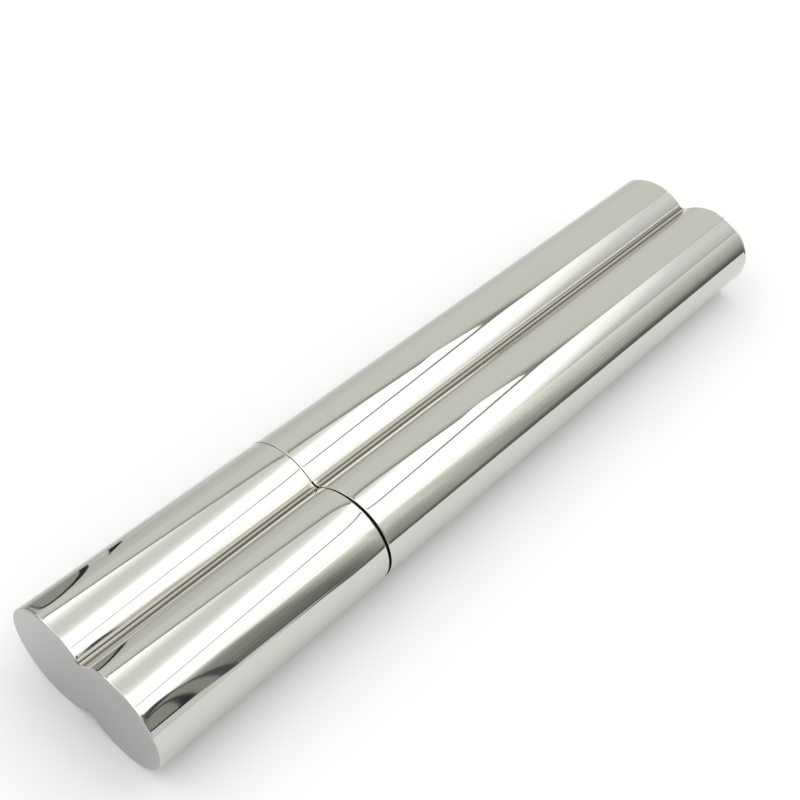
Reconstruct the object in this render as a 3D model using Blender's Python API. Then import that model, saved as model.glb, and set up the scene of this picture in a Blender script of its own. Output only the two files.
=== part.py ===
"""Two-finger cigar case in polished stainless steel: a body with a neck, and a cap that pulls off it.

The case lies on its side, as it would on a table. X runs along its length with the cap at -X, Y across
its two lobes, and Z up. The origin is the middle of the surface that it lies on. Sizes are in metres.

Each lobe is a rolled tube that is open towards the other one. A narrow strip is soldered into the valley
between them, above and below, and a flat plate closes each end of the case. A spring sleeve in each lobe
of the body stands out of its mouth, and the cap slides over the two sleeves.
"""

import math

import bpy

MM = 0.001

# Driving sizes of the closed case
LENGTH = 209.8 * MM
WIDTH = 43.94 * MM
HEIGHT = 22.86 * MM
CAP_LENGTH = 62.6 * MM

# The section: two oval lobes side by side, with a rounded valley where they meet
LOBE_HALF_WIDTH = 12.43 * MM
LOBE_HALF_HEIGHT = HEIGHT / 2
LOBE_CENTRE = WIDTH / 2 - LOBE_HALF_WIDTH
VALLEY_RADIUS = 1.5 * MM

# Sheet metal
TUBE_WALL = 0.5 * MM
SLEEVE_WALL = 0.4 * MM
END_PLATE_THICKNESS = 1.0 * MM
NECK_LENGTH = 20.0 * MM
SLEEVE_ROOT = 30.0 * MM

# Gaps and edge rounding
MOUTH_GAP = 0.35 * MM
SOLDER_GAP = 0.1 * MM
SLIDING_GAP = 0.15 * MM
SLEEVE_EDGE_SETBACK = 1.2 * MM
EDGE_ROUND = 0.12 * MM

# Facets
LOBE_STEP_DEGREES = 5
VALLEY_SEGMENTS = 8
EDGE_RESOLUTION = 1

# Places along X
CAP_END = -LENGTH / 2
BODY_END = LENGTH / 2
CAP_MOUTH = CAP_END + CAP_LENGTH - MOUTH_GAP / 2
BODY_MOUTH = CAP_END + CAP_LENGTH + MOUTH_GAP / 2
AXIS_HEIGHT = HEIGHT / 2

# Stretched by 1 / SQUASH in height, a lobe is round, and the valley is a circle that touches both lobes
SQUASH = LOBE_HALF_HEIGHT / LOBE_HALF_WIDTH
VALLEY_CENTRE = math.sqrt((LOBE_HALF_WIDTH + VALLEY_RADIUS) ** 2 - LOBE_CENTRE**2)
VALLEY_START = math.atan2(VALLEY_CENTRE, LOBE_CENTRE)
LOBE_END = math.pi - VALLEY_START

# Turns a flat outline so that its own X and Y become the case's Y and Z, and its thickness runs along X
ACROSS_CASE = (math.radians(90), 0, math.radians(90))

# Names the two lobes, as seen from the cap, and the two valleys by the sign of their Y or Z
LOBES = {"left": 1, "right": -1}
VALLEYS = {"top": 1, "bottom": -1}

STEEL = (0.80, 0.79, 0.76)
SLEEVE_STEEL = (0.66, 0.66, 0.64)
SOLDER = (0.74, 0.73, 0.70)


def clear_scene():
    for obj in list(bpy.data.objects):
        bpy.data.objects.remove(obj, do_unlink=True)


def new_collection(name):
    collection = bpy.data.collections.new(name)
    bpy.context.scene.collection.children.link(collection)
    return collection


def metal(name, colour, roughness):
    material = bpy.data.materials.new(name)
    material.use_nodes = True
    shader = material.node_tree.nodes["Principled BSDF"]
    shader.inputs["Base Color"].default_value = (*colour, 1.0)
    shader.inputs["Metallic"].default_value = 1.0
    shader.inputs["Roughness"].default_value = roughness
    return material


def oval_point(centre, radius, angle, inset):
    """A point on an oval of the section, moved by inset along the oval's normal towards its centre."""
    normal = (SQUASH * math.cos(angle), math.sin(angle))
    shift = inset / math.hypot(*normal)
    y = centre[0] + radius * math.cos(angle) - shift * normal[0]
    z = SQUASH * (centre[1] + radius * math.sin(angle)) - shift * normal[1]
    return y, z


def lobe_arc(inset, setback=0.0):
    """The left lobe from the bottom valley round to the top one, stopping setback short of each valley."""
    end = LOBE_END - setback / LOBE_HALF_WIDTH
    last_step = math.floor(math.degrees(end) / LOBE_STEP_DEGREES)
    steps = range(-last_step, last_step + 1)
    angles = [-end, *(math.radians(step * LOBE_STEP_DEGREES) for step in steps), end]
    return [oval_point((LOBE_CENTRE, 0.0), LOBE_HALF_WIDTH, angle, inset) for angle in angles]


def valley_arc(inset, setback=0.0):
    """The top valley from the left lobe to the right one, stopping setback short of each lobe."""
    start = VALLEY_START + setback / VALLEY_RADIUS
    sweep = math.pi - 2 * start
    angles = [-start - sweep * step / VALLEY_SEGMENTS for step in range(VALLEY_SEGMENTS + 1)]
    return [oval_point((0.0, VALLEY_CENTRE), VALLEY_RADIUS, angle, -inset) for angle in angles]


def whole_section(inset):
    """The whole section, counter-clockwise: the arcs meet at shared points, which are given once."""
    half = lobe_arc(inset) + valley_arc(inset)[1:-1]
    return half + [(-y, -z) for y, z in half]


def wall_section(arc, inset, thickness, setback):
    """A wall that follows an arc of the section, from inset to inset + thickness below its surface."""
    return arc(inset, setback) + arc(inset + thickness, setback)[::-1]


def sheet(name, outline, start, end, material, collection):
    """A solid of one outline in Y and Z that runs from start to end along X, with rounded end edges."""
    curve = bpy.data.curves.new(name, "CURVE")
    curve.dimensions = "2D"
    curve.fill_mode = "BOTH"
    curve.extrude = (end - start) / 2 - EDGE_ROUND
    curve.bevel_depth = EDGE_ROUND
    curve.bevel_resolution = EDGE_RESOLUTION
    curve.offset = -EDGE_ROUND
    spline = curve.splines.new("POLY")
    spline.points.add(len(outline) - 1)
    for point, (y, z) in zip(spline.points, outline):
        point.co = (y, z, 0.0, 1.0)
    spline.use_cyclic_u = True
    curve.materials.append(material)
    obj = bpy.data.objects.new(name, curve)
    obj.location = ((start + end) / 2, 0.0, AXIS_HEIGHT)
    obj.rotation_euler = ACROSS_CASE
    collection.objects.link(obj)
    return obj


def mirrored(outline, y_sign, z_sign):
    return [(y * y_sign, z * z_sign) for y, z in outline]


def make_shell(prefix, start, end, plate_start, collection):
    """The outside of the cap or of the body: two tubes, the strips in the valleys, and the end plate."""
    parts = []
    tube = wall_section(lobe_arc, 0.0, TUBE_WALL, SOLDER_GAP / 2)
    for side, y_sign in LOBES.items():
        name = f"{prefix}_tube_{side}"
        finish = metal(name, STEEL, 0.05)
        parts.append(sheet(name, mirrored(tube, y_sign, 1), start, end, finish, collection))
    strip = wall_section(valley_arc, 0.0, TUBE_WALL, SOLDER_GAP / 2)
    for side, z_sign in VALLEYS.items():
        name = f"{prefix}_valley_strip_{side}"
        finish = metal(name, SOLDER, 0.08)
        parts.append(sheet(name, mirrored(strip, 1, z_sign), start, end, finish, collection))
    name = f"{prefix}_end_plate"
    plate = whole_section(TUBE_WALL + SOLDER_GAP)
    finish = metal(name, STEEL, 0.15)
    parts.append(sheet(name, plate, plate_start, plate_start + END_PLATE_THICKNESS, finish, collection))
    return parts


def make_neck(collection):
    """The spring sleeves: half of each is held inside the body, and the rest carries the cap."""
    sleeve = wall_section(lobe_arc, TUBE_WALL + SLIDING_GAP, SLEEVE_WALL, SLEEVE_EDGE_SETBACK)
    start = BODY_MOUTH - NECK_LENGTH
    end = BODY_MOUTH + SLEEVE_ROOT
    parts = []
    for side, y_sign in LOBES.items():
        name = f"neck_sleeve_{side}"
        finish = metal(name, SLEEVE_STEEL, 0.25)
        parts.append(sheet(name, mirrored(sleeve, y_sign, 1), start, end, finish, collection))
    return parts


def put_origin_at(obj, parent):
    """Hangs a piece of the cap on the empty that carries its sliding axis, without moving it."""
    obj.parent = parent
    obj.matrix_parent_inverse = parent.matrix_basis.inverted()


def main():
    clear_scene()
    case = new_collection("cigar_case")
    make_shell("body", BODY_MOUTH, BODY_END, BODY_END - END_PLATE_THICKNESS, case)
    make_neck(case)
    slide = bpy.data.objects.new("cap_slide_axis", None)
    slide.location = (CAP_MOUTH, 0.0, AXIS_HEIGHT)
    case.objects.link(slide)
    for piece in make_shell("cap", CAP_END, CAP_MOUTH, CAP_END, case):
        put_origin_at(piece, slide)


main()
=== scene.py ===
"""Looks of the two-finger cigar case: mirror-polished stainless steel lying on a white studio floor.

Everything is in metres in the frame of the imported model: X along the case with the cap at -X, Y across its
two lobes and Z up, with the case lying on Z = 0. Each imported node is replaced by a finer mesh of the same
piece, with rolled rims, flush joints and the shallow waves that hand polishing leaves in thin steel.
"""

import math

import bmesh
import bpy
from mathutils import Matrix, Vector


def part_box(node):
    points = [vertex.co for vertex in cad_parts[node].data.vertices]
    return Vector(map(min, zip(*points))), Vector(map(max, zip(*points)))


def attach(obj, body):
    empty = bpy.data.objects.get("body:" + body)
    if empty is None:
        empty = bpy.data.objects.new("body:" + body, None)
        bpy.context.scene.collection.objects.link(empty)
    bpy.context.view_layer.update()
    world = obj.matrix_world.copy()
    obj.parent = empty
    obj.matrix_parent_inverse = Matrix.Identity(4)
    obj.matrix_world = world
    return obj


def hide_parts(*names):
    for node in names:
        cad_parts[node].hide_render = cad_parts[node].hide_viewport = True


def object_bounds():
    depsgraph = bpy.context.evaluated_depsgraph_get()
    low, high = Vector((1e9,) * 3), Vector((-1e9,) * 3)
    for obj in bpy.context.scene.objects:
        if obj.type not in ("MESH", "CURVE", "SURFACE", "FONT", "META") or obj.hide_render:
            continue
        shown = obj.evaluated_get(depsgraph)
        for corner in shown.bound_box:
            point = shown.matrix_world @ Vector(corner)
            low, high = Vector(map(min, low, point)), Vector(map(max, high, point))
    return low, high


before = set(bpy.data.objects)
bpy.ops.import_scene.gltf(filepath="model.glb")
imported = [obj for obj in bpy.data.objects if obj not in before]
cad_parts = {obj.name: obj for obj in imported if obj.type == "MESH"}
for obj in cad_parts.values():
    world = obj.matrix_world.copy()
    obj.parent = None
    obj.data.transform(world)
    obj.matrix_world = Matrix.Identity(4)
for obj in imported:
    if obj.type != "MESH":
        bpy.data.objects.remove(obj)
CAD_LOW, CAD_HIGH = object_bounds()

MM = 0.001

# The section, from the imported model's box and the same two radii as the design
WIDTH = CAD_HIGH.y - CAD_LOW.y
HEIGHT = CAD_HIGH.z - CAD_LOW.z
AXIS_HEIGHT = (CAD_LOW.z + CAD_HIGH.z) / 2
LOBE_HALF_WIDTH = 12.43 * MM
LOBE_HALF_HEIGHT = HEIGHT / 2
LOBE_CENTRE = WIDTH / 2 - LOBE_HALF_WIDTH
VALLEY_RADIUS = 1.5 * MM
SQUASH = LOBE_HALF_HEIGHT / LOBE_HALF_WIDTH
VALLEY_CENTRE = math.sqrt((LOBE_HALF_WIDTH + VALLEY_RADIUS) ** 2 - LOBE_CENTRE**2)
VALLEY_START = math.atan2(VALLEY_CENTRE, LOBE_CENTRE)
LOBE_END = math.pi - VALLEY_START

# Places along X
CAP_END = CAD_LOW.x
BODY_END = CAD_HIGH.x
CAP_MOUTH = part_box("cap_tube_left")[1].x
BODY_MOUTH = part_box("body_tube_left")[0].x
NECK_START, NECK_END = (corner.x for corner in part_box("neck_sleeve_left"))
PLATE_THICKNESS = 1.0 * MM

# Sheet metal
TUBE_WALL = 0.5 * MM
SLEEVE_INSET = 0.65 * MM
SLEEVE_WALL = 0.4 * MM
SLEEVE_SETBACK = 1.2 * MM
HAIRLINE = 0.012 * MM
RIM_ROUND = 0.14 * MM
PLATE_EDGE_ROUND = 0.2 * MM
PLATE_BACK_ROUND = 0.06 * MM
PLATE_HAIRLINE = 0.01 * MM
GRIP_DIMPLE_HEIGHT = 0.1 * MM
GRIP_DIMPLE_RADIUS = 1.1 * MM
GRIP_DIMPLE_SETBACK = 7 * MM
GRIP_DIMPLE_ANGLES = (math.radians(-70), 0.0, math.radians(70))

# Hollows left by hand polishing: three sines along X, each with a length, a share of the depth, and an
# offset in turns that a piece's seed multiplies. A tube's seed goes by lobe, left and right
WAVE_DEPTH = 0.006 * MM
WAVE_LENGTHS = (71 * MM, 33 * MM, 17 * MM)
WAVE_SHARES = (0.55, 0.3, 0.15)
WAVE_OFFSETS = (0.31, 0.57, 0.13)
TUBE_SEEDS = {"body": (1.0, 1.7), "cap": (3.0, 3.7)}
VALLEY_SEEDS = {"body": 5.0, "cap": 6.0}

# The mouth rims roll in on the cap and out on the body, by so much on the left lobe and on the right one.
# The inner face follows only close to the rim
RIM_ROLL = {"cap": (0.04 * MM, 0.15 * MM), "body": (-0.015 * MM, -0.055 * MM)}
RIM_ROLL_REACH = 2.0 * MM
RIM_INSIDE_REACH = 1.0 * MM

# The body's mouth is cut slightly askew, so that the seam is tight on the left lobe and opens on the right
MOUTH_TIGHT = -0.28 * MM
MOUTH_OPEN = 0.28 * MM
MOUTH_OPENS_FROM = -2 * MM
MOUTH_OPENS_TO = -18 * MM
MOUTH_SKEW_REACH = 3 * MM

# Painted shade in the seam's gap, from so deep below the face, and round the sleeves where the seam crosses
# them
SEAM_SHADE_DEPTHS = (0.05 * MM, 0.15 * MM)
SLEEVE_SHADE_REACH = 0.9 * MM

# The painted shade along a valley crease: where it deepens and where it ends, across the strip from the left
# lobe (0) to the right one (1), and how near the seam it is left out so that a highlight shows there
VALLEY_SHADE_FAINT = 0.5
VALLEY_SHADE_STRONG = 0.9
VALLEY_SHADE_DEEPENS = (0.22, 0.42)
VALLEY_SHADE_ENDS = (0.45, 0.56)
VALLEY_SHADE_CLEAR_OF_SEAM = 1.2 * MM

# Steel: a finish is a colour, a cloudy tint, a roughness, its unevenness, and how strongly scratches show
MIRROR_FINISH = ((0.617, 0.617, 0.588), (0.602, 0.600, 0.568), 0.02, 0.02, 0.15)
VALLEY_FINISH = ((0.60, 0.585, 0.53), (0.57, 0.55, 0.49), 0.03, 0.04, 0.3)
DRAWN_FINISH = ((0.42, 0.42, 0.40), (0.36, 0.36, 0.34), 0.22, 0.12, 0.6)
SATIN_COLOUR = (0.415, 0.415, 0.411, 1.0)
# Painted shade: the near-black colour the steel takes deep in the seam, on the sleeves under it and along
# the valleys
PAINTED_SHADE_COLOUR = (0.045, 0.040, 0.028, 1.0)
WEAR_REACH = 0.8 * MM
MARK_ROUGHNESS = {"flat": 0.10, "inside": 0.25, "painted_shade": 0.12}
NICK_ROUGHNESS = 0.10
NICK_RANGE = (0.45, 0.6)
NOISE_RANGE = (0.3, 0.7)
SCRATCHES_PER_METRE = (60.0, 5200.0, 5200.0)
SCRATCH_DEPTH = 0.002 * MM
CLOUDS_PER_METRE = 90.0
NICKS_PER_METRE = 2600.0

# Mesh fineness
ANGLE_STEP = math.radians(1.5)
VALLEY_STEPS = 28
STATION_STEP = 2.0 * MM
RIM_STATIONS = (0.35 * MM, 0.8 * MM, 1.4 * MM, 2.1 * MM, 3.0 * MM, 4.2 * MM)
RIM_STATIONS_MARGIN = 0.8 * MM
MOUTH_STATION_STEP = 0.4 * MM
MOUTH_STATION_STEPS = 5
MOUTH_STATION_MARGIN = 0.2 * MM
INNER_STATIONS = (0.8, 0.6, 0.4, 0.2)
ROUND_STEPS = 4
ARCH_STEPS = 24
FLOOR_VERTICES = 96
TUBE_SHARP_ANGLE = math.radians(35)
PLATE_SHARP_ANGLE = math.radians(25)

LOBES = {"left": 1, "right": -1}
VALLEYS = {"top": 1, "bottom": -1}
PLATED_END = {"body": "end", "cap": "start"}

# Camera
VIEW_FROM = Vector((-0.17257, -0.12652, 0.21603))
VIEW_AT = Vector((-0.00311, 0.01004, 0.01143))
VIEW_ROLL = math.radians(3.85)
LENS = 56.12
SENSOR = 36.0

# Studio: its ceiling and walls, and the corner where the two ceiling lights and the bare ceiling meet
ORIGIN = Vector((0.0, 0.0, 0.0))
ALONG_X = Vector((1.0, 0.0, 0.0))
ALONG_Y = Vector((0.0, 1.0, 0.0))
ALONG_Z = Vector((0.0, 0.0, 1.0))
CEILING = 1.0
WALL_TOP = 1.2
WALL_BEHIND = 1.9
WALL_FRONT = -0.95
WALL_END = 2.6
WALL_PAST_CAP = -1.4
ROOM_START = -2.0
ROOM_FRONT_START = -1.0
PAST_END = 3.0
PAST_BACK = 2.0
PAST_FRONT = -2.0
CEILING_FRONT = -1.0
CORNER = Vector((0.87, 0.09, CEILING))
ALONG_SOFTBOX = Vector((-0.749, -0.662, 0.0))
INTO_SOFTBOX = Vector((-0.662, 0.749, 0.0))
ALONG_CEILING_EDGE = Vector((-0.549, 0.835, 0.0))
INTO_CEILING = Vector((0.835, 0.549, 0.0))

# The softbox's bent tip, from the corner, its size, and the ceiling panel beside it with its frame
SOFTBOX_TIP = ((-0.04, -0.02), (-0.04, 0.05), (-0.07, 0.16), (-0.09, 0.23), (-0.13, 0.175))
SOFTBOX_SIZE = 1.6
PANEL_GAP = (-0.065, -0.03)
PANEL_LENGTH = 1.3
PANEL_FRAME_WIDTH = 0.022
ABOVE_PANEL = 0.01
ABOVE_FRAME = 0.02

# Tints of what glows, from the lights to the dark equipment
SOFTBOX_TINT = (1.0, 1.0, 0.98)
PANEL_TINT = (1.0, 1.0, 0.985)
FRAME_TINT = (1.0, 1.0, 0.95)
BEIGE_TINT = (1.0, 1.0, 0.93)
FLOOR_TINT = (1.0, 1.0, 0.99)
PAPER_TINT = (0.85, 0.85, 0.84)
GREY_TINT = (0.40, 0.41, 0.38)
LINING_TINT = (0.36, 0.36, 0.32)
DIM_TINT = (0.12, 0.12, 0.12)
EQUIPMENT_TINT = (0.09, 0.10, 0.105)
BLACK_TINT = (0.035, 0.037, 0.035)

# How bright each card is along a direction, as stops of metres and a level
SOFTBOX_STOPS = ((0.0, 2.2), (0.27, 2.0), (0.37, 1.2), (0.48, 0.97), (0.64, 0.98), (0.78, 1.35), (0.93, 1.9))
PANEL_STOPS = ((0.90, 2.0), (1.05, 1.5), (1.2, 1.0), (1.45, 0.9), (2.4, 0.9))
PANEL_STOPS_FORWARD = ((-0.95, 0.76), (-0.6, 0.92), (-0.3, 1.0))
FRAME_STOPS = ((0.87, 0.35), (1.0, 0.5), (1.2, 0.68), (2.4, 0.62))
CEILING_STOPS = ((0.0, 0.25), (0.04, 0.40), (0.11, 0.78), (0.2, 0.88))
CEILING_STOPS_IN_GAP = ((-0.01, 1.0), (0.01, 1.3), (0.35, 2.2), (0.7, 3.6))
WALL_STOPS_UP = ((0.0, 0.76), (0.9, 0.87))
WALL_STOPS_ALONG = ((0.3, 0.84), (0.7, 0.90), (1.1, 0.96), (1.6, 1.0))
ROOM_STOPS_LEFT = ((0.10, 0.36), (0.43, 0.34), (0.52, 0.66), (0.65, 0.97))
ROOM_STOPS_RIGHT = ((0.76, 0.82), (0.92, 1.05), (1.4, 0.97))
ROOM_STOPS_LOW = ((-0.4, 0.3), (-0.15, 0.32), (0.0, 0.50), (0.15, 0.60), (0.32, 0.74))
ROOM_STOPS_HIGH = ((0.5, 0.95), (0.68, 1.12), (0.8, 1.25), (0.9, 1.9), (1.0, 3.0))
BEHIND_STOPS_NEAR = ((0.0, 1.37), (0.006, 1.23), (0.013, 1.035), (0.035, 0.884))
BEHIND_STOPS_FAR = ((0.063, 0.80), (0.2, 0.78), (1.86, 0.76))
BEHIND_STOPS_ALONG = ((-0.10, 0.72), (-0.06, 0.80), (-0.03, 0.90), (0.0, 1.0))
FRONT_STOPS = ((0.0, 0.14), (0.1, 0.18), (0.5, 0.28), (0.85, 0.30))
PANEL_STREAKS = 0.10
ROOM_STREAKS = 0.18
STREAKS_PER_METRE = (1.6, 22.0, 22.0)

# The room in front shades along a slanting direction, from a place along X
ROOM_SLANT = Vector((-0.25, 0.0, 1.0))
ROOM_SLANT_FROM = Vector((0.4, 0.0, 0.0))

# Outlines on a wall, in X and Z, and of the painted dark floor reflection, in X and Y
TABLE_EDGE = ((-0.2, 0.0), (0.42, 0.0), (0.28, 0.10), (0.24, 0.19), (-0.2, 0.20))
PAPER_EDGE = ((-0.1, 0.0), (0.10, 0.0), (0.086, 0.045), (0.055, 0.10), (-0.1, 0.12))
POST = ((-0.043, 0.0), (-0.038, 0.0), (-0.038, 0.013), (-0.044, 0.040))
DARK_FLOOR_REFLECTION = ((0.005, -0.13), (0.035, -0.115), (0.09, -0.086), (0.17, -0.07), (2.5, -0.07))
DARK_FLOOR_REFLECTION_FRONT = ((2.5, WALL_FRONT), (0.36, WALL_FRONT), (0.18, -0.62))

# Where across Y the stand behind, the equipment in front and the two painted floor reflections lie, and the
# gaps between cards that lie one in front of another
STAND_BEHIND = 0.13
EQUIPMENT_FRONT = -0.450
PAPER_FRONT = -0.445
CARD_SPACING = 1.0 * MM
TABLE_SPACING = 10.0 * MM
FLOOR_REFLECTION_BEHIND = 0.042
FLOOR_REFLECTION_FRONT = -0.07
FLOOR_REFLECTION_HEIGHT = 1.5 * MM

FLOOR_RADIUS = 8.0
FLOOR_DROP = 0.02 * MM
FLOOR_COLOUR = (0.815, 0.815, 0.815, 1.0)
FLOOR_ROUGHNESS = 0.8


# ---------------------------------------------------------------- the section


def oval_point(centre, radius, angle, inset):
    """A point on an oval of the section, moved by inset along the oval's normal towards its centre."""
    normal = (SQUASH * math.cos(angle), math.sin(angle))
    shift = inset / math.hypot(*normal)
    y = centre[0] + radius * math.cos(angle) - shift * normal[0]
    z = SQUASH * (centre[1] + radius * math.sin(angle)) - shift * normal[1]
    return y, z


def lobe_angles(setback):
    """Angles round the left lobe, from the bottom valley to the top one, short of each by setback."""
    end = LOBE_END - setback / LOBE_HALF_WIDTH
    steps = math.ceil(2 * end / ANGLE_STEP)
    return [end * (2 * step / steps - 1) for step in range(steps + 1)]


def lobe_point(angle, inset):
    return oval_point((LOBE_CENTRE, 0.0), LOBE_HALF_WIDTH, angle, inset)


def valley_angles(setback):
    """Angles along the top valley from the left lobe to the right one, short of each by setback."""
    start = VALLEY_START + setback / VALLEY_RADIUS
    sweep = math.pi - 2 * start
    return [-start - sweep * step / VALLEY_STEPS for step in range(VALLEY_STEPS + 1)]


def valley_point(angle, inset):
    return oval_point((0.0, VALLEY_CENTRE), VALLEY_RADIUS, angle, -inset)


# ---------------------------------------------------------------- shape of the sheet metal


def wave(x, angle, seed):
    """Depth of the shallow hollows in the polished face, never negative: slow sines along X and round it."""
    offsets = [offset * seed for offset in WAVE_OFFSETS]
    turns = [2 * math.pi * (x / length + offset) for length, offset in zip(WAVE_LENGTHS, offsets)]
    slow = math.sin(turns[0] + 1.7 * math.sin(angle + seed))
    middling = math.sin(turns[1] + 2.3 * math.cos(angle - 0.6 * seed))
    quick = math.sin(turns[2] - 3.1 * math.sin(angle * 2 + seed))
    hollows = sum(share * part for share, part in zip(WAVE_SHARES, (slow, middling, quick)))
    return WAVE_DEPTH * (1.0 + hollows)


def ease(value, low, high):
    """0 at low, 1 at high, and a smooth step between them."""
    t = min(max((value - low) / (high - low), 0.0), 1.0)
    return t * t * (3 - 2 * t)


def rim_roll(prefix, share, distance):
    """How deep the face lies at this distance from the mouth: the cap rolls in there, the body slightly out.

    share is 0 on the left lobe and 1 on the right one.
    """
    left, right = RIM_ROLL[prefix]
    roll = left + (right - left) * share
    fading = math.exp(-distance / RIM_ROLL_REACH)
    return roll * fading if prefix == "cap" else roll * (fading - 1)


def mouth_shift(x, y, mouth):
    """How far the body's mouth is cut askew along X at this y, fading out within a few millimetres of it."""
    opening = ease(-y, -MOUTH_OPENS_FROM, -MOUTH_OPENS_TO)
    shift = MOUTH_TIGHT + (MOUTH_OPEN - MOUTH_TIGHT) * opening
    return shift * math.exp(-abs(x - mouth) / MOUTH_SKEW_REACH)


def seam_painted_shade(x, inset, mouth):
    """Painted shade on the rims that face each other across the seam, deep in its gap."""
    if abs(x - mouth) > 2 * RIM_ROUND:
        return 0.0
    return ease(inset, *SEAM_SHADE_DEPTHS)


class Station:
    """A place on a sheet's profile: its x, how deep it is, and if it is on the outer face or a flat end."""

    def __init__(self, x, inset, outer=0.0, flat=0.0):
        self.x = x
        self.inset = inset
        self.outer = outer
        self.flat = flat


def round_corner(x, direction, inset, turn, radius):
    """Points of a quarter round at a rim: x is the rim's plane, direction points into the sheet along X.

    turn is 1 on the outer edge, which is walked towards the rim, and -1 on the inner one, walked from it.
    """
    points = []
    for step in range(ROUND_STEPS + 1):
        angle = math.pi / 2 * step / ROUND_STEPS
        from_rim, from_face = radius * (1 - math.sin(angle)), radius * (1 - math.cos(angle))
        if turn < 0:
            from_rim, from_face = from_face, from_rim
        points.append((x + direction * from_rim, inset + turn * from_face))
    return points


def stations(start, end):
    """Places strictly between start and end: even, but closer near both ends and round the body's mouth."""
    count = max(2, round((end - start) / STATION_STEP))
    margin = RIM_STATIONS[-1] + RIM_STATIONS_MARGIN
    places = [start + (end - start) * step / count for step in range(1, count)]
    places = [x for x in places if start + margin < x < end - margin]
    reach = MOUTH_STATION_STEP * MOUTH_STATION_STEPS
    if start + margin < BODY_MOUTH - reach and BODY_MOUTH + reach < end - margin:
        places = [x for x in places if abs(x - BODY_MOUTH) > reach + MOUTH_STATION_MARGIN]
        steps = range(-MOUTH_STATION_STEPS, MOUTH_STATION_STEPS + 1)
        places = sorted(places + [BODY_MOUTH + MOUTH_STATION_STEP * step for step in steps])
    return [start + d for d in RIM_STATIONS] + places + [end - d for d in reversed(RIM_STATIONS)]


def open_rim(x, direction, inset, wall):
    """The profile of a rim with both its edges rounded, walked from the outer face to the inner one."""
    outer = round_corner(x, direction, inset, 1, RIM_ROUND)
    inner = round_corner(x, direction, inset + wall, -1, RIM_ROUND)
    return [Station(*point) for point in outer + inner]


def plated_rim(x, direction, inset, wall):
    """The profile of a tube's end round its end plate: a rounded edge, and a face flush with the plate."""
    outer = [Station(*point) for point in round_corner(x, direction, inset, 1, PLATE_EDGE_ROUND)]
    face = [
        Station(x, inset + PLATE_EDGE_ROUND + PLATE_HAIRLINE, flat=1.0),
        Station(x, inset + wall, flat=1.0),
        Station(x + direction * PLATE_HAIRLINE, inset + wall),
    ]
    return outer + face


def sheet_profile(start, end, inset, wall, plated=None):
    """The closed outline of a sheet along X as stations. plated says which end has an end plate, if any."""
    outer = [Station(x, inset, outer=1.0) for x in stations(start, end)]
    far_rim = plated_rim if plated == "end" else open_rim
    near_rim = plated_rim if plated == "start" else open_rim
    inner = [Station(start + (end - start) * part, inset + wall) for part in INNER_STATIONS]
    return outer + far_rim(end, -1, inset, wall) + inner + near_rim(start, 1, inset, wall)[::-1]


def loft(name, profile, angles, place, painted_shade_at):
    """Skins the rings that place(x, inset, outer, angle) gives for each station, and closes the two ends.

    Marks are kept on the mesh for the steel. Wear is 1 at the rims, inside is 1 on the inner face, flat is 1
    on a flat end, and painted shade is what the last argument's function gives for (x, inset, angle).
    """
    bm = bmesh.new()
    wear = bm.verts.layers.float.new("wear")
    inside = bm.verts.layers.float.new("inside")
    flat = bm.verts.layers.float.new("flat")
    painted_shade = bm.verts.layers.float.new("painted_shade")
    start = min(station.x for station in profile)
    end = max(station.x for station in profile)
    insets = [station.inset for station in profile]
    middle = (min(insets) + max(insets)) / 2
    rings = []
    for station in profile:
        ring = [bm.verts.new(place(station.x, station.inset, station.outer, angle)) for angle in angles]
        for vertex, angle in zip(ring, angles):
            vertex[painted_shade] = painted_shade_at(station.x, station.inset, angle)
            vertex[wear] = math.exp(-min(station.x - start, end - station.x) / WEAR_REACH)
            vertex[inside] = 1.0 if station.inset > middle and not station.flat else 0.0
            vertex[flat] = station.flat
        rings.append(ring)
    for index, ring in enumerate(rings):
        following = rings[(index + 1) % len(rings)]
        for a, b, c, d in zip(ring, ring[1:], following[1:], following):
            bm.faces.new((a, b, c, d))
    bm.faces.new([ring[0] for ring in rings])
    bm.faces.new([ring[-1] for ring in reversed(rings)])
    return link_mesh(name, bm, TUBE_SHARP_ANGLE)


def link_mesh(name, bm, sharp_angle):
    """Turns a bmesh into a smooth-shaded object in the scene, sharp at edges above sharp_angle."""
    bmesh.ops.recalc_face_normals(bm, faces=bm.faces)
    mesh = bpy.data.meshes.new(name)
    bm.to_mesh(mesh)
    bm.free()
    mesh.shade_smooth()
    mesh.set_sharp_from_angle(angle=sharp_angle)
    obj = bpy.data.objects.new(name, mesh)
    bpy.context.scene.collection.objects.link(obj)
    return obj


# ---------------------------------------------------------------- the pieces


def make_tube(prefix, side, start, end, mouth, seed):
    """One of the four tubes: most of a lobe's circle, open towards the middle of the case."""
    y_sign = LOBES[side]
    share = (1 - y_sign) / 2

    def place(x, inset, outer, angle):
        distance = abs(x - mouth)
        depth = inset + outer * wave(x, angle, seed)
        if outer or distance < RIM_INSIDE_REACH:
            depth += rim_roll(prefix, share, distance)
        y, z = lobe_point(angle, depth)
        y *= y_sign
        shift = mouth_shift(x, y, mouth) if prefix == "body" else 0.0
        return x + shift, y, AXIS_HEIGHT + z

    def painted_shade_at(x, inset, angle):
        # Painted shade deep in the seam's gap
        return seam_painted_shade(x, inset, mouth)

    profile = sheet_profile(start, end, 0.0, TUBE_WALL, PLATED_END[prefix])
    return loft(f"{prefix}_tube_{side}_fine", profile, lobe_angles(HAIRLINE), place, painted_shade_at)


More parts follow.
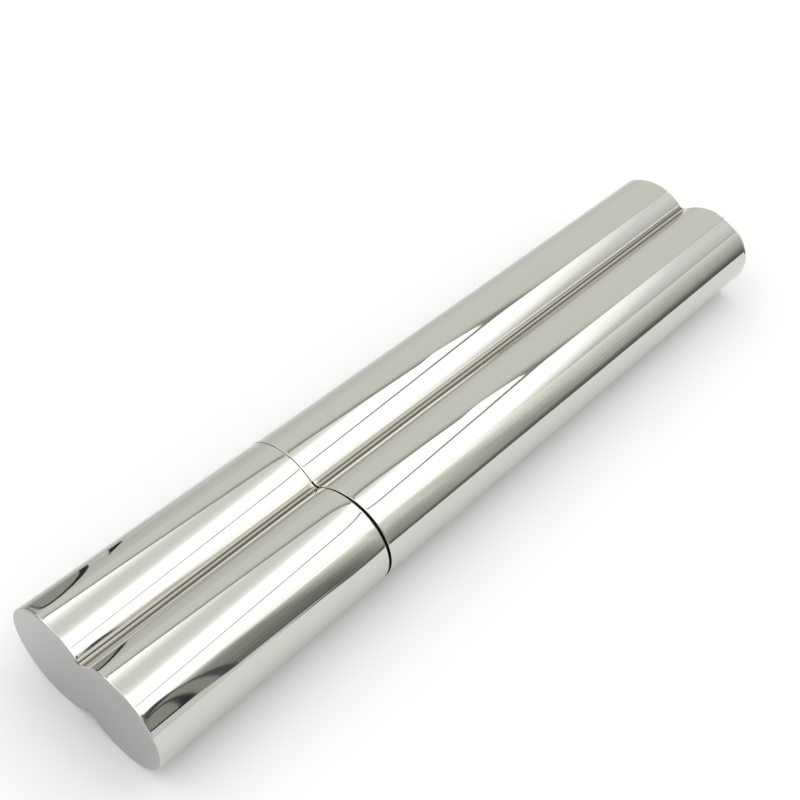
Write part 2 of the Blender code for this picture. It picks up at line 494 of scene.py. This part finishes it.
def make_valley_strip(prefix, side, start, end, mouth, seed):
    """The narrow hollow strip that joins two tubes along the top or the bottom, with a painted brown shade
    along its crease.
    """
    z_sign = VALLEYS[side]

    def across(angle):
        """0 at the left lobe and 1 at the right one."""
        return (-angle - VALLEY_START) / (math.pi - 2 * VALLEY_START)

    def place(x, inset, outer, angle):
        distance = abs(x - mouth)
        depth = inset + outer * wave(x, 0.0, seed)
        if outer or distance < RIM_INSIDE_REACH:
            depth += rim_roll(prefix, across(angle), distance)
        y, z = valley_point(angle, depth)
        return x, y, AXIS_HEIGHT + z_sign * z

    def painted_shade_at(x, inset, angle):
        # Painted shade along the valley crease, left out next to the seam so that a highlight shows there
        valley_shade = VALLEY_SHADE_FAINT + (VALLEY_SHADE_STRONG - VALLEY_SHADE_FAINT) * ease(across(angle), *VALLEY_SHADE_DEEPENS)
        valley_shade *= 1 - ease(across(angle), *VALLEY_SHADE_ENDS)
        valley_shade *= ease(abs(x - mouth), 0.0, VALLEY_SHADE_CLEAR_OF_SEAM)
        return max(valley_shade, seam_painted_shade(x, inset, mouth))

    profile = sheet_profile(start, end, 0.0, TUBE_WALL, PLATED_END[prefix])
    return loft(f"{prefix}_valley_strip_{side}_fine", profile, valley_angles(HAIRLINE), place, painted_shade_at)


def grip_dimple(x, angle):
    """Height of the three round bumps on a sleeve that grip the inside of the cap."""
    height = 0.0
    for centre in GRIP_DIMPLE_ANGLES:
        across = (angle - centre) * LOBE_HALF_WIDTH
        along = x - (NECK_START + GRIP_DIMPLE_SETBACK)
        height += GRIP_DIMPLE_HEIGHT * math.exp(-(across**2 + along**2) / GRIP_DIMPLE_RADIUS**2)
    return height


def make_sleeve(side):
    """A neck sleeve: an open tube inside a lobe that stands out of the body and guides the cap."""
    y_sign = LOBES[side]

    def place(x, inset, outer, angle):
        y, z = lobe_point(angle, inset - outer * grip_dimple(x, angle))
        return x, y * y_sign, AXIS_HEIGHT + z

    def painted_shade_at(x, inset, angle):
        # Painted shade on the sleeve where the body's mouth hides it in the gap
        return math.exp(-(((x - BODY_MOUTH) / SLEEVE_SHADE_REACH) ** 2))

    profile = sheet_profile(NECK_START, NECK_END, SLEEVE_INSET, SLEEVE_WALL)
    return loft(f"neck_sleeve_{side}_fine", profile, lobe_angles(SLEEVE_SETBACK), place, painted_shade_at)


def whole_section(inset):
    """The whole section, counter-clockwise, moved inwards by inset."""
    half = [lobe_point(angle, inset) for angle in lobe_angles(0.0)]
    half += [valley_point(angle, inset) for angle in valley_angles(0.0)][1:-1]
    return half + [(-y, -z) for y, z in half]


def make_end_plate(name, outside, inwards):
    """A flat plate, flush with the tubes round it. inwards is the direction along X from its outer face."""
    layers = [(0.0, TUBE_WALL), (PLATE_THICKNESS - PLATE_BACK_ROUND, TUBE_WALL)]
    layers.append((PLATE_THICKNESS, TUBE_WALL + PLATE_BACK_ROUND))
    bm = bmesh.new()
    flat = bm.verts.layers.float.new("flat")
    loops = []
    for depth, inset in layers:
        x = outside + inwards * depth
        loops.append([bm.verts.new((x, y, AXIS_HEIGHT + z)) for y, z in whole_section(inset)])
    for vertex in loops[0]:
        vertex[flat] = 1.0
    for lower, upper in zip(loops, loops[1:]):
        for index, vertex in enumerate(lower):
            following = (index + 1) % len(lower)
            bm.faces.new((vertex, lower[following], upper[following], upper[index]))
    bm.faces.new(loops[0])
    bm.faces.new(loops[-1])
    return link_mesh(name, bm, PLATE_SHARP_ANGLE)


# ---------------------------------------------------------------- materials


class Nodes:
    """A short way to write a node tree."""

    def __init__(self, material):
        material.use_nodes = True
        self.tree = material.node_tree
        self.tree.nodes.clear()

    def add(self, kind, settings=None, inputs=None):
        """Adds a node. An input that is another node's output is linked; anything else is set as it is."""
        node = self.tree.nodes.new(kind)
        for key, value in (settings or {}).items():
            setattr(node, key, value)
        for key, value in (inputs or {}).items():
            if isinstance(value, bpy.types.NodeSocket):
                self.tree.links.new(value, node.inputs[key])
            else:
                node.inputs[key].default_value = value
        return node

    def place(self):
        return self.add("ShaderNodeTexCoord").outputs["Object"]

    def math(self, operation, first, second):
        return self.add("ShaderNodeMath", {"operation": operation}, {0: first, 1: second}).outputs["Value"]

    def noise(self, vector, scale, detail):
        settings = {"Vector": vector, "Scale": scale, "Detail": detail, "Roughness": 0.55}
        return self.add("ShaderNodeTexNoise", None, settings).outputs["Fac"]

    def mark(self, name):
        return self.add("ShaderNodeAttribute", {"attribute_name": name}).outputs["Fac"]

    def spread(self, value, low, high, to_low, to_high):
        """Value, mapped from the range low..high to the range to_low..to_high and held there."""
        inputs = {"Value": value, "From Min": low, "From Max": high, "To Min": to_low, "To Max": to_high}
        return self.add("ShaderNodeMapRange", None, inputs).outputs["Result"]

    def blend(self, factor, first, second):
        inputs = {0: factor, 6: first, 7: second}
        return self.add("ShaderNodeMix", {"data_type": "RGBA"}, inputs).outputs[2]

    def ramp(self, value, stops):
        """A curve through (value, level) stops, straight between them."""
        low, high = stops[0][0], stops[-1][0]
        peak = max(level for _, level in stops)
        node = self.add("ShaderNodeValToRGB", None, {0: self.spread(value, low, high, 0.0, 1.0)})
        elements = node.color_ramp.elements
        while len(elements) < len(stops):
            elements.new(0.5)
        for element, (_, level) in zip(elements, stops):
            element.color = (level / peak, level / peak, level / peak, 1.0)
        for element, (at, _) in zip(elements, stops):
            element.position = (at - low) / (high - low)
        return self.math("MULTIPLY", node.outputs["Color"], peak)


def steel(name, colour, tint, roughness, unevenness, scratches):
    """Steel with faint clouds in its colour, uneven gloss, worn rims and fine scratches that run along X.

    Where a mesh is marked flat it takes the duller satin finish of the case's two ends, and painted shade
    darkens it to near black where marked: deep in the seam, on the sleeves under it and along the valleys.
    """
    material = bpy.data.materials.new(name)
    n = Nodes(material)
    place = n.place()
    stretched = n.add("ShaderNodeMapping", None, {"Vector": place, "Scale": SCRATCHES_PER_METRE})
    streaks = n.noise(stretched.outputs["Vector"], 1.0, 3.0)
    clouds = n.noise(place, CLOUDS_PER_METRE, 4.0)
    nicks = n.noise(place, NICKS_PER_METRE, 2.0)
    worn = n.math("MULTIPLY", n.mark("wear"), n.spread(nicks, *NICK_RANGE, 0.0, 1.0))
    gloss = n.spread(clouds, *NOISE_RANGE, roughness, roughness + unevenness)
    gloss = n.math("ADD", gloss, n.math("MULTIPLY", streaks, unevenness))
    gloss = n.math("ADD", gloss, n.math("MULTIPLY", worn, NICK_ROUGHNESS))
    marks = {mark: n.mark(mark) for mark in MARK_ROUGHNESS}
    for mark, added in MARK_ROUGHNESS.items():
        gloss = n.math("ADD", gloss, n.math("MULTIPLY", marks[mark], added))
    cloudy = n.blend(clouds, (*colour, 1.0), (*tint, 1.0))
    clean = n.blend(marks["flat"], cloudy, SATIN_COLOUR)
    relief = {"Height": streaks, "Strength": scratches, "Distance": SCRATCH_DEPTH}
    # Painted shade: where the mesh carries the shade mark, the colour goes to near black
    inputs = {
        "Base Color": n.blend(marks["painted_shade"], clean, PAINTED_SHADE_COLOUR),
        "Metallic": 1.0,
        "Roughness": gloss,
        "Normal": n.add("ShaderNodeBump", None, relief).outputs["Normal"],
    }
    shader = n.add("ShaderNodeBsdfPrincipled", None, inputs)
    n.add("ShaderNodeOutputMaterial", None, {"Surface": shader.outputs["BSDF"]})
    return material


def floor_material():
    """Plain white paper, with no gloss."""
    material = bpy.data.materials.new("white_floor")
    n = Nodes(material)
    inputs = {"Base Color": FLOOR_COLOUR, "Roughness": FLOOR_ROUGHNESS, "Specular IOR Level": 0.0}
    shader = n.add("ShaderNodeBsdfPrincipled", None, inputs)
    n.add("ShaderNodeOutputMaterial", None, {"Surface": shader.outputs["BSDF"]})
    return material


def glow(name, tint, *ramps, streaks=0.0):
    """A light: tint times the product of its ramps, each an origin, a direction, and stops along that.

    streaks is how much soft streaks along X lighten and darken it.
    """
    material = bpy.data.materials.new(name)
    n = Nodes(material)
    place = n.place()
    level = None
    for origin, direction, stops in ramps:
        offset = n.add("ShaderNodeVectorMath", {"operation": "SUBTRACT"}, {0: place, 1: origin})
        inputs = {0: offset.outputs["Vector"], 1: direction}
        dot = n.add("ShaderNodeVectorMath", {"operation": "DOT_PRODUCT"}, inputs)
        step = n.ramp(dot.outputs["Value"], stops)
        level = n.math("MULTIPLY", level, step) if level else step
    if streaks:
        stretched = n.add("ShaderNodeMapping", None, {"Vector": place, "Scale": STREAKS_PER_METRE})
        grain = n.noise(stretched.outputs["Vector"], 1.0, 3.0)
        level = n.math("MULTIPLY", level, n.spread(grain, *NOISE_RANGE, 1.0 - streaks, 1.0 + streaks))
    light = n.add("ShaderNodeEmission", None, {"Color": (*tint, 1.0), "Strength": level if level else 1.0})
    n.add("ShaderNodeOutputMaterial", None, {"Surface": light.outputs["Emission"]})
    return material


# ---------------------------------------------------------------- studio


def card(name, corners, material, mirror_only=False):
    """A flat card that lights the case or shows in its polish, but that no camera sees."""
    mesh = bpy.data.meshes.new(name)
    bm = bmesh.new()
    bm.faces.new([bm.verts.new(corner) for corner in corners])
    bm.to_mesh(mesh)
    bm.free()
    mesh.materials.append(material)
    obj = bpy.data.objects.new(name, mesh)
    bpy.context.scene.collection.objects.link(obj)
    obj.visible_camera = False
    if mirror_only:
        obj.visible_diffuse = False
        obj.visible_shadow = False
    return obj


def level_rectangle(x_start, x_end, y_start, y_end, z):
    return [(x_start, y_start, z), (x_end, y_start, z), (x_end, y_end, z), (x_start, y_end, z)]


def wall_across(x_start, x_end, y, top):
    return [(x_start, y, 0.0), (x_end, y, 0.0), (x_end, y, top), (x_start, y, top)]


def wall_along(x, y_start, y_end, top):
    return [(x, y_start, 0.0), (x, y_end, 0.0), (x, y_end, top), (x, y_start, top)]


def outline_on_wall(outline, y):
    return [(x, y, z) for x, z in outline]


def make_softbox():
    """The larger ceiling light, over the case and behind it, with a bent tip at the corner."""
    material = glow("softbox_glow", SOFTBOX_TINT, (CORNER, INTO_SOFTBOX, SOFTBOX_STOPS))
    far_edge = CORNER + ALONG_CEILING_EDGE * SOFTBOX_SIZE
    softbox = [CORNER + Vector((x, y, 0.0)) for x, y in SOFTBOX_TIP]
    softbox += [far_edge, far_edge + ALONG_SOFTBOX * SOFTBOX_SIZE, CORNER + ALONG_SOFTBOX * SOFTBOX_SIZE]
    card("softbox", softbox, material)


def make_panel():
    """The other ceiling light, in front of the case and past its far end, with a dark frame on one edge."""
    material = glow(
        "panel_glow",
        PANEL_TINT,
        (ORIGIN, ALONG_X, PANEL_STOPS),
        (ORIGIN, ALONG_Y, PANEL_STOPS_FORWARD),
        streaks=PANEL_STREAKS,
    )
    gap_at_corner, gap_at_end = PANEL_GAP
    start = CORNER + ALONG_Y * gap_at_corner
    end = CORNER + ALONG_SOFTBOX * PANEL_LENGTH + ALONG_Y * gap_at_end
    corners = [(end.x, WALL_FRONT, CEILING), (WALL_END, WALL_FRONT, CEILING), (WALL_END, start.y, CEILING)]
    card("ceiling_panel", [start, end, *corners], material)
    frame_glow = glow("panel_frame_glow", FRAME_TINT, (ORIGIN, ALONG_X, FRAME_STOPS))
    above = CEILING + ABOVE_PANEL
    edge = level_rectangle(start.x, WALL_END, start.y, start.y + PANEL_FRAME_WIDTH, above)
    card("panel_frame", edge, frame_glow, mirror_only=True)


def make_ceiling():
    """The bare ceiling above both lights: dark next to them, beige further on, bright through their gap."""
    across = (CORNER, INTO_CEILING, CEILING_STOPS)
    in_gap = (CORNER, ALONG_SOFTBOX, CEILING_STOPS_IN_GAP)
    material = glow("ceiling_glow", BEIGE_TINT, across, in_gap)
    ceiling = level_rectangle(ROOM_START, WALL_END, CEILING_FRONT, WALL_BEHIND, CEILING + ABOVE_FRAME)
    card("ceiling", ceiling, material, mirror_only=True)


def make_walls():
    """A beige wall behind, another past the case's far end, and a dim one past the cap."""
    upwards, along = (ORIGIN, ALONG_Z, WALL_STOPS_UP), (ORIGIN, ALONG_X, WALL_STOPS_ALONG)
    beige = glow("wall_glow", BEIGE_TINT, upwards, along)
    card("wall_behind", wall_across(ROOM_START, PAST_END, WALL_BEHIND, WALL_TOP), beige)
    card("wall_end", wall_along(WALL_END, PAST_BACK, PAST_FRONT, WALL_TOP), beige)
    left = wall_along(WALL_PAST_CAP, WALL_FRONT, WALL_BEHIND, WALL_TOP)
    card("wall_left", left, glow("dim_glow", DIM_TINT), mirror_only=True)


def make_room():
    """The room in front, darker low down and towards the cap, and the pale edge of the table below it."""
    material = glow(
        "room_glow",
        BEIGE_TINT,
        (ORIGIN, ALONG_X, ROOM_STOPS_LEFT + ROOM_STOPS_RIGHT),
        (ROOM_SLANT_FROM, ROOM_SLANT, ROOM_STOPS_LOW + ROOM_STOPS_HIGH),
        streaks=ROOM_STREAKS,
    )
    card("room", wall_across(ROOM_FRONT_START, PAST_END, WALL_FRONT, CEILING), material, mirror_only=True)
    table_edge = outline_on_wall(TABLE_EDGE, WALL_FRONT + TABLE_SPACING)
    card("table_edge", table_edge, glow("table_edge_glow", PAPER_TINT), mirror_only=True)


def arch(name, material, y, middle, half_width, height, lean=0.0, bottom=0.0):
    """A round-topped card that stands across Y, with its top leaning along X, seen only in the polish."""
    corners = []
    for step in range(ARCH_STEPS + 1):
        turn = math.pi * step / ARCH_STEPS
        z = bottom + (height - bottom) * math.sin(turn)
        corners.append((middle + half_width * math.cos(turn) + lean * (z / height) ** 2, y, z))
    card(name, corners, material, mirror_only=True)


def make_stands():
    """A grey round-topped stand with a black edge, and a black post, behind the cap."""
    black = glow("stand_black_glow", BLACK_TINT)
    grey = glow("stand_grey_glow", GREY_TINT)
    arch("stand_edge", black, STAND_BEHIND, middle=-0.061, half_width=0.0105, height=0.083)
    face = STAND_BEHIND - CARD_SPACING / 2
    arch("stand_face", grey, face, middle=-0.0625, half_width=0.0085, height=0.073)
    card("post", outline_on_wall(POST, STAND_BEHIND), black, mirror_only=True)


def make_equipment():
    """Dark equipment in front of the case, a lined hood round a lens, and the edge of the paper by it."""
    dark = glow("equipment_dark_glow", EQUIPMENT_TINT)
    lining = glow("equipment_lining_glow", LINING_TINT)
    black = glow("equipment_black_glow", BLACK_TINT)
    layers = [EQUIPMENT_FRONT + CARD_SPACING * number for number in range(4)]
    arch("hood", dark, layers[0], middle=0.053, half_width=0.033, height=0.495, lean=0.053, bottom=0.02)
    arch(
        "hood_lining",
        lining,
        layers[1],
        middle=0.0445,
        half_width=0.0275,
        height=0.43,
        lean=0.055,
        bottom=0.05,
    )
    arch("lens", black, layers[2], middle=0.0365, half_width=0.0195, height=0.37, lean=0.040, bottom=0.09)
    arch(
        "lens_glass",
        lining,
        layers[3],
        middle=0.028,
        half_width=0.015,
        height=0.345,
        lean=0.043,
        bottom=0.125,
    )
    paper = glow("paper_glow", PAPER_TINT)
    card("paper_edge", outline_on_wall(PAPER_EDGE, PAPER_FRONT), paper, mirror_only=True)


def make_floor():
    """A plain white floor."""
    bpy.ops.mesh.primitive_circle_add(
        vertices=FLOOR_VERTICES, radius=FLOOR_RADIUS, fill_type="NGON", location=(0.0, 0.0, -FLOOR_DROP)
    )
    floor = bpy.context.object
    floor.name = "studio_floor"
    floor.data.materials.append(floor_material())


def make_floor_reflections():
    """Painted reflections of the floor further out, seen only in the polish: grey behind the case and
    brightest next to it, dark in front of it.
    """
    start = FLOOR_REFLECTION_BEHIND
    behind = glow(
        "floor_behind_glow",
        FLOOR_TINT,
        (ALONG_Y * start, ALONG_Y, BEHIND_STOPS_NEAR + BEHIND_STOPS_FAR),
        (ORIGIN, ALONG_X, BEHIND_STOPS_ALONG),
    )
    outline = level_rectangle(ROOM_START, WALL_END, start, WALL_BEHIND, FLOOR_REFLECTION_HEIGHT)
    card("painted_floor_reflection_behind", outline, behind, mirror_only=True)
    front = glow("floor_front_glow", FRAME_TINT, (ALONG_Y * FLOOR_REFLECTION_FRONT, -ALONG_Y, FRONT_STOPS))
    outline = [(x, y, FLOOR_REFLECTION_HEIGHT) for x, y in DARK_FLOOR_REFLECTION + DARK_FLOOR_REFLECTION_FRONT]
    card("painted_floor_reflection_front", outline, front, mirror_only=True)


def make_world():
    """An even white sky, and colours as they are rendered."""
    world = bpy.data.worlds.new("studio_world")
    world.use_nodes = True
    world.node_tree.nodes["Background"].inputs["Color"].default_value = (1.0, 1.0, 1.0, 1.0)
    world.node_tree.nodes["Background"].inputs["Strength"].default_value = 1.0
    bpy.context.scene.world = world
    bpy.context.scene.view_settings.view_transform = "Standard"


def make_camera():
    """The camera, near the cap's end and above it, looking along the case."""
    data = bpy.data.cameras.new("camera")
    data.sensor_width = SENSOR
    data.lens = LENS
    data.clip_start = 0.01
    data.clip_end = 50.0
    camera = bpy.data.objects.new("camera", data)
    bpy.context.scene.collection.objects.link(camera)
    turn = (VIEW_AT - VIEW_FROM).to_track_quat("-Z", "Y").to_matrix().to_4x4()
    camera.matrix_world = Matrix.Translation(VIEW_FROM) @ turn @ Matrix.Rotation(VIEW_ROLL, 4, "Z")
    bpy.context.scene.camera = camera


# ---------------------------------------------------------------- the case


def finish_piece(piece, node, body, material):
    """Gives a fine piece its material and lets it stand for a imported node."""
    piece.data.materials.clear()
    piece.data.materials.append(material)
    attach(piece, body)
    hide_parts(node)


def make_case():
    """Every piece of the case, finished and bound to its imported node."""
    mirror = steel("mirror_steel", *MIRROR_FINISH)
    valley = steel("valley_steel", *VALLEY_FINISH)
    drawn = steel("drawn_steel", *DRAWN_FINISH)
    spans = {"body": (BODY_MOUTH, BODY_END, BODY_MOUTH), "cap": (CAP_END, CAP_MOUTH, CAP_MOUTH)}
    for prefix, span in spans.items():
        for side, seed in zip(LOBES, TUBE_SEEDS[prefix]):
            tube = make_tube(prefix, side, *span, seed)
            finish_piece(tube, f"{prefix}_tube_{side}", prefix, mirror)
        for side in VALLEYS:
            strip = make_valley_strip(prefix, side, *span, VALLEY_SEEDS[prefix])
            finish_piece(strip, f"{prefix}_valley_strip_{side}", prefix, valley)
    near = make_end_plate("cap_end_plate_fine", CAP_END, 1)
    finish_piece(near, "cap_end_plate", "cap", mirror)
    far = make_end_plate("body_end_plate_fine", BODY_END, -1)
    finish_piece(far, "body_end_plate", "body", mirror)
    for side in LOBES:
        finish_piece(make_sleeve(side), f"neck_sleeve_{side}", "body", drawn)


make_camera()
make_case()
make_floor()
make_floor_reflections()
make_softbox()
make_panel()
make_ceiling()
make_walls()
make_room()
make_stands()
make_equipment()
make_world()

bpy.context.view_layer.update()
